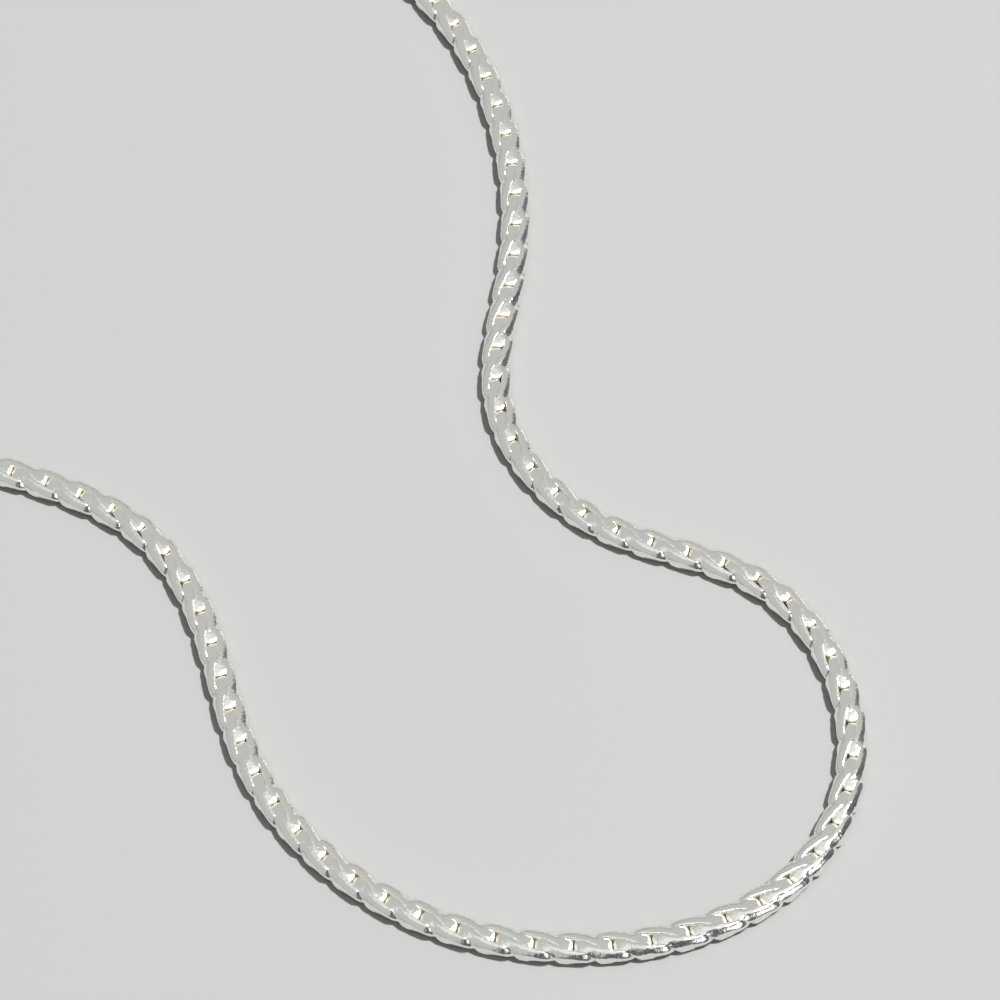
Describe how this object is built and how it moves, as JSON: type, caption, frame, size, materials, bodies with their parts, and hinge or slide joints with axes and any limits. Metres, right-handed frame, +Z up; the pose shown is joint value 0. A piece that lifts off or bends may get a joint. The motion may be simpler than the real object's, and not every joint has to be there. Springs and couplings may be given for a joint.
{
  "type": "curb chain necklace",
  "caption": "Neck chain of twisted, nested oval links in polished silver, laid in a double bend, closed by a plain barrel clasp with end rings.",
  "frame": {"origin": "on the surface that the chain lies on, at the centre of its outline seen from above", "axes": "+Z up from the surface; +X to the picture's right; +Y away from the camera, up the picture"},
  "size_m": [0.142, 0.1534, 0.0021],
  "materials": {
    "link_silver": "polished",
    "ring_silver": "polished",
    "clasp_silver": "polished"
  },
  "bodies": {
    "root": {"chain_upper": "link_silver", "chain_lower": "link_silver", "end_ring_upper": "ring_silver", "end_ring_lower": "ring_silver", "clasp": "clasp_silver"}
  },
  "joints": []
}
